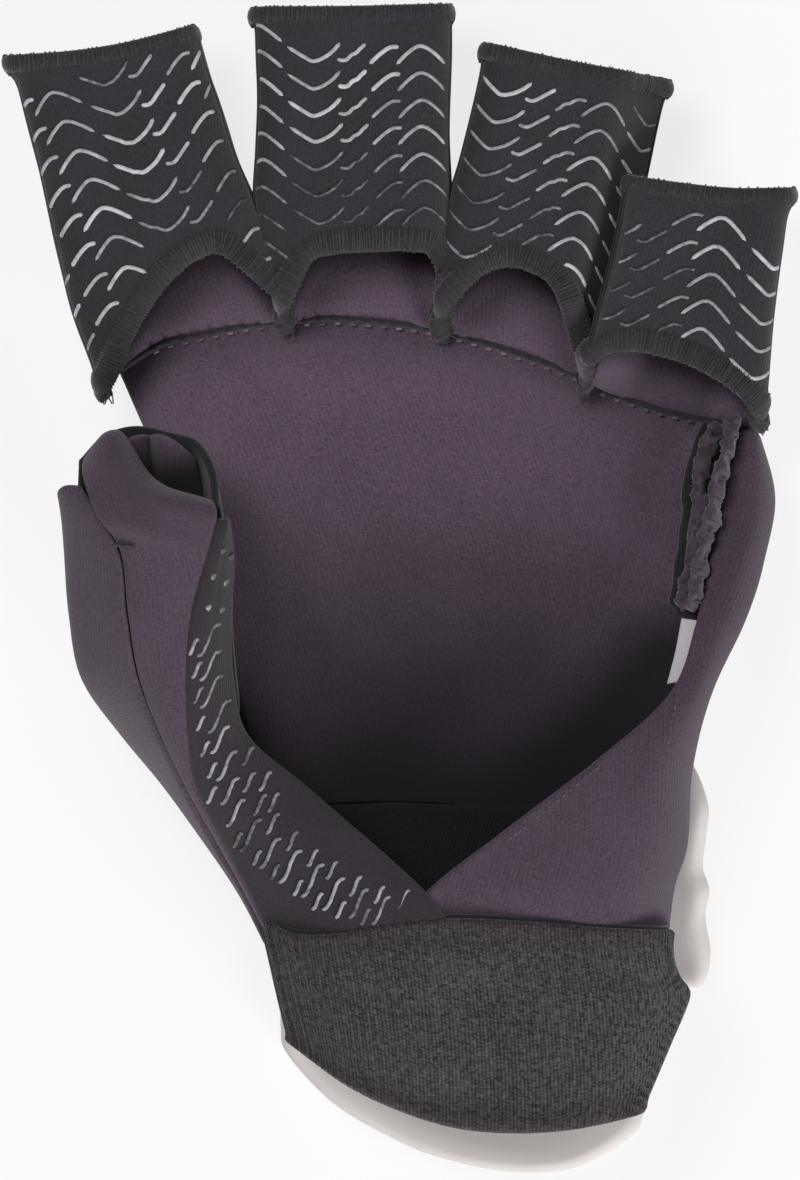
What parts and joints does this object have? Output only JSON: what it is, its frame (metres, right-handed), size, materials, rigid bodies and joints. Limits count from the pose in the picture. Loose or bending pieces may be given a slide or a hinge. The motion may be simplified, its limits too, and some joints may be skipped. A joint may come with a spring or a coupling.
{
  "type": "field hockey glove",
  "caption": "Padded left-hand field hockey glove with an open palm, open-ended finger and thumb stalls with grip print, an elastic cuff and foam guards on the back.",
  "frame": {"origin": "on the flat underside of the back guard, under the middle of the hand", "axes": "+Y towards the fingertips, +X towards the little finger, +Z out of the open palm"},
  "size_m": [0.1259, 0.1809, 0.0446],
  "materials": {
    "palm_knit": "matte stretch knit",
    "grip_fabric": "matte knit with raised silicone print",
    "gusset_knit": "matte knit",
    "seam_thread": "overlock thread",
    "cuff_elastic": "ribbed woven elastic",
    "eva_foam": "satin moulded foam",
    "inner_foam": "open-cell foam",
    "label_cloth": "blank woven tape"
  },
  "bodies": {
    "hand": {"back_lining": "palm_knit", "back_foam": "inner_foam", "back_knit": "palm_knit", "back_guard": "eva_foam", "wrist_guard": "eva_foam", "knuckle_seam": "seam_thread", "little_side_panel": "palm_knit", "side_seam_tape": "seam_thread", "care_label": "label_cloth", "thumb_base_grip_strip": "grip_fabric", "thumb_base_front_panel": "palm_knit", "thumb_base_outer_panel": "palm_knit", "thumb_base_back_panel": "palm_knit", "cuff_front": "cuff_elastic", "cuff_back": "cuff_elastic", "cuff_seam": "seam_thread", "cuff_hem": "cuff_elastic"},
    "index": {"index_grip_panel": "grip_fabric", "index_back_panel": "palm_knit", "index_little_side_gusset": "gusset_knit", "index_thumb_side_gusset": "gusset_knit", "index_tip_hem": "seam_thread", "index_palm_hem": "seam_thread", "index_near_pad": "eva_foam", "index_far_pad": "eva_foam"},
    "middle": {"middle_grip_panel": "grip_fabric", "middle_back_panel": "palm_knit", "middle_little_side_gusset": "gusset_knit", "middle_thumb_side_gusset": "gusset_knit", "middle_tip_hem": "seam_thread", "middle_palm_hem": "seam_thread", "middle_near_pad": "eva_foam", "middle_far_pad": "eva_foam"},
    "ring": {"ring_grip_panel": "grip_fabric", "ring_back_panel": "palm_knit", "ring_little_side_gusset": "gusset_knit", "ring_thumb_side_gusset": "gusset_knit", "ring_tip_hem": "seam_thread", "ring_palm_hem": "seam_thread", "ring_near_pad": "eva_foam", "ring_far_pad": "eva_foam"},
    "little": {"little_grip_panel": "grip_fabric", "little_back_panel": "palm_knit", "little_little_side_gusset": "gusset_knit", "little_thumb_side_gusset": "gusset_knit", "little_tip_hem": "seam_thread", "little_palm_hem": "seam_thread", "little_near_pad": "eva_foam", "little_far_pad": "eva_foam"},
    "thumb": {"thumb_grip_panel": "grip_fabric", "thumb_front_panel": "palm_knit", "thumb_outer_panel": "palm_knit", "thumb_back_panel": "palm_knit", "thumb_mouth_hem": "seam_thread", "thumb_pad": "eva_foam"}
  },
  "joints": [
    {"name": "index_knuckle", "type": "hinge", "parent": "hand", "child": "index", "pos_m": [-0.03314, 0.0389, 0.0099], "axis": [0.9903, 0.1392, 0], "range_deg": [-10, 70], "stiffness_Nm_per_rad": 0.03},
    {"name": "middle_knuckle", "type": "hinge", "parent": "hand", "child": "middle", "pos_m": [-0.00574, 0.0419, 0.0099], "axis": [1, 0, 0], "range_deg": [-10, 70], "stiffness_Nm_per_rad": 0.03},
    {"name": "ring_knuckle", "type": "hinge", "parent": "hand", "child": "ring", "pos_m": [0.01856, 0.0377, 0.0099], "axis": [0.9954, -0.0958, 0], "range_deg": [-10, 70], "stiffness_Nm_per_rad": 0.03},
    {"name": "little_knuckle", "type": "hinge", "parent": "hand", "child": "little", "pos_m": [0.04435, 0.0287, 0.0099], "axis": [0.9936, -0.1132, 0], "range_deg": [-10, 70], "stiffness_Nm_per_rad": 0.03},
    {"name": "thumb_swing", "type": "hinge", "parent": "hand", "child": "thumb", "pos_m": [-0.0357, -0.0171, 0.028], "axis": [0, 0, 1], "range_deg": [-15, 15], "stiffness_Nm_per_rad": 0.03}
  ]
}
